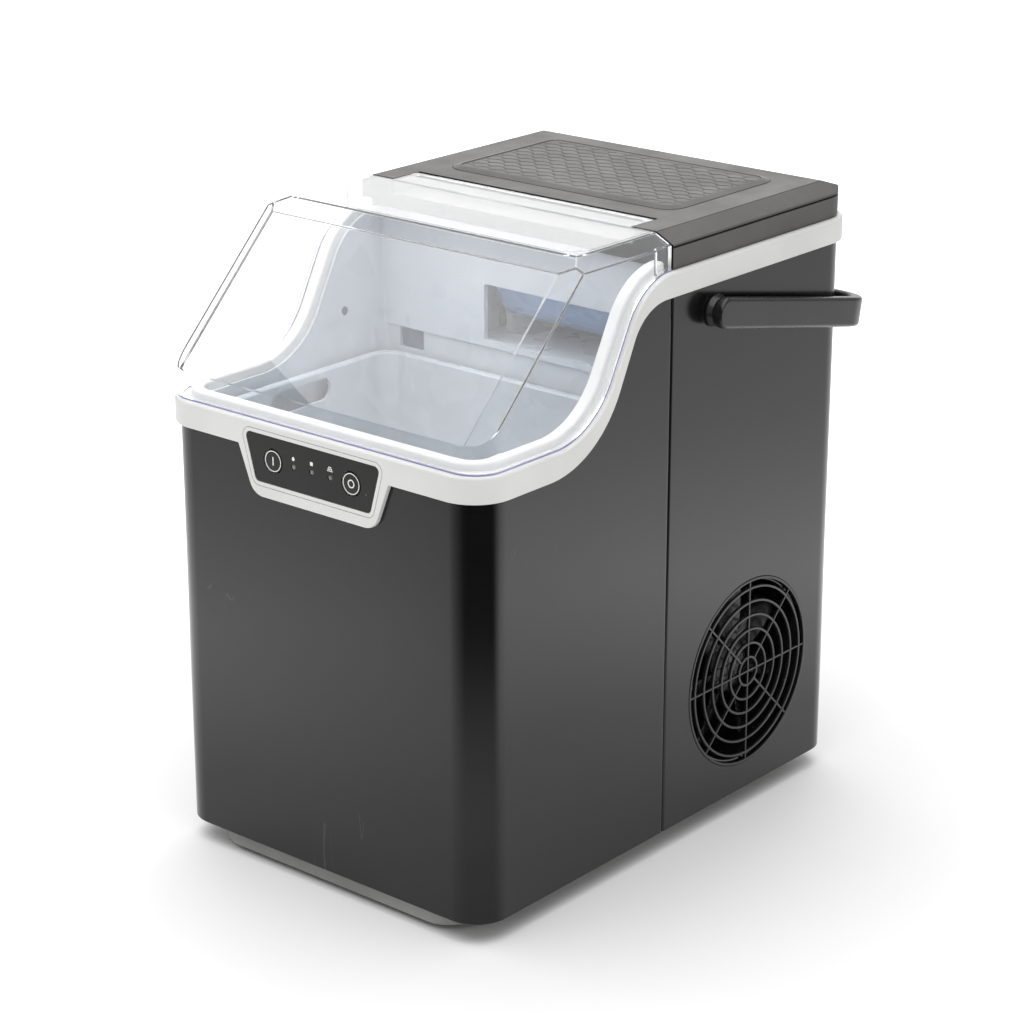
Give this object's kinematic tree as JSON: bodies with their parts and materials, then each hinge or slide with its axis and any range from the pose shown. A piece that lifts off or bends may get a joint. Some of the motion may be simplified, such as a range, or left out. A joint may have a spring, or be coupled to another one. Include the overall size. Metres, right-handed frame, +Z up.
{
  "type": "ice maker",
  "caption": "Countertop ice maker with a clear hinged lid over a front ice bin, a carrying handle behind, a control strip in the front rim and a round side fan guard.",
  "frame": {"origin": "middle of the base on the surface the machine stands on, with the handle counted in its length", "axes": "+X to the user's right, +Y to the back, +Z up"},
  "size_m": [0.245, 0.3364, 0.3542],
  "materials": {
    "shell_paint": "charcoal, fine vertical brushing under a satin lacquer",
    "rim_plastic": "off-white, satin",
    "cover_plastic": "charcoal, fine spark texture",
    "clear_lid": "clear polished plastic with bluish edges",
    "black_plastic": "black, semi-gloss",
    "control_film": "dark satin film",
    "lamp_lens": "smoked lens",
    "circuit_board": "green solder mask",
    "liner_plastic": "pale blue-grey, smooth",
    "basket_plastic": "pale, slightly translucent",
    "tray_plastic": "dark blue, smooth",
    "grey_plastic": "mid grey, moulded",
    "foot_rubber": "matt",
    "hose_rubber": "milky silicone",
    "bright_steel": "ground",
    "bare_aluminium": "as formed",
    "compressor_paint": "black enamel",
    "copper_pipe": "drawn copper",
    "fan_plastic": "black, glossy"
  },
  "bodies": {
    "root": {"base_pan": "grey_plastic", "foot_front_left": "foot_rubber", "foot_front_right": "foot_rubber", "foot_rear_left": "foot_rubber", "foot_rear_right": "foot_rubber", "compressor_mount_front_left": "foot_rubber", "compressor_mount_front_right": "foot_rubber", "compressor_mount_rear_left": "foot_rubber", "compressor_mount_rear_right": "foot_rubber", "front_shell": "shell_paint", "rear_shell": "shell_paint", "rim": "rim_plastic", "control_film": "control_film", "lamp_add_water": "lamp_lens", "lamp_making_ice": "lamp_lens", "lamp_bin_full": "lamp_lens", "control_board": "circuit_board", "top_cover": "cover_plastic", "texture_plate": "cover_plastic", "hinge_pin_left": "bright_steel", "hinge_pin_right": "bright_steel", "handle_boss_left": "black_plastic", "handle_boss_right": "black_plastic", "bin_liner": "liner_plastic", "ice_sensor": "black_plastic", "ice_chute": "liner_plastic", "evaporator": "bare_aluminium", "tray_bearing": "liner_plastic", "tray_motor": "grey_plastic", "water_pump": "black_plastic", "pump_hose": "hose_rubber", "drain_outlet": "black_plastic", "drain_hose": "hose_rubber", "compressor": "compressor_paint", "condenser": "bare_aluminium", "discharge_pipe": "copper_pipe", "suction_pipe": "copper_pipe", "fan_motor": "fan_plastic", "fan_shroud": "fan_plastic", "fan_guard": "fan_plastic", "power_inlet": "black_plastic"},
    "lid": {"lid": "clear_lid"},
    "handle": {"handle": "black_plastic"},
    "on_button": {"on_button": "control_film"},
    "off_button": {"off_button": "control_film"},
    "basket": {"ice_basket": "basket_plastic"},
    "water_tray": {"water_tray": "tray_plastic"},
    "ice_pusher": {"ice_pusher": "tray_plastic"},
    "fan": {"fan_rotor": "fan_plastic"},
    "drain_plug": {"drain_plug": "black_plastic"}
  },
  "joints": [
    {"name": "lid_hinge", "type": "hinge", "parent": "root", "child": "lid", "pos_m": [0, 0.00407, 0.3496], "axis": [-1, 0, 0], "range_deg": [0, 92]},
    {"name": "handle_swing", "type": "hinge", "parent": "root", "child": "handle", "pos_m": [0, 0.02607, 0.3045], "axis": [1, 0, 0], "range_deg": [0, 102]},
    {"name": "on_press", "type": "slide", "parent": "root", "child": "on_button", "axis": [0, 1, 0], "range_m": [0, 0.0008], "stiffness_N_per_m": 1500},
    {"name": "off_press", "type": "slide", "parent": "root", "child": "off_button", "axis": [0, 1, 0], "range_m": [0, 0.0008], "stiffness_N_per_m": 1500},
    {"name": "basket_lift", "type": "slide", "parent": "root", "child": "basket", "axis": [0, 0, 1], "range_m": [0, 0.033]},
    {"name": "tray_tilt", "type": "hinge", "parent": "root", "child": "water_tray", "pos_m": [0, 0.02807, 0.303], "axis": [1, 0, 0], "range_deg": [0, 80]},
    {"name": "pusher_slide", "type": "slide", "parent": "root", "child": "ice_pusher", "axis": [0, -1, 0], "range_m": [0, 0.045]},
    {"name": "fan_spin", "type": "hinge", "parent": "root", "child": "fan", "pos_m": [0, 0.06657, 0.084], "axis": [1, 0, 0], "continuous": true},
    {"name": "drain_plug_pull", "type": "slide", "parent": "root", "child": "drain_plug", "axis": [0, 1, 0], "range_m": [0, 0.022]}
  ],
  "couplings": [
    {"joint": "pusher_slide", "follows": "tray_tilt", "m_per_rad": 0.0318}
  ]
}
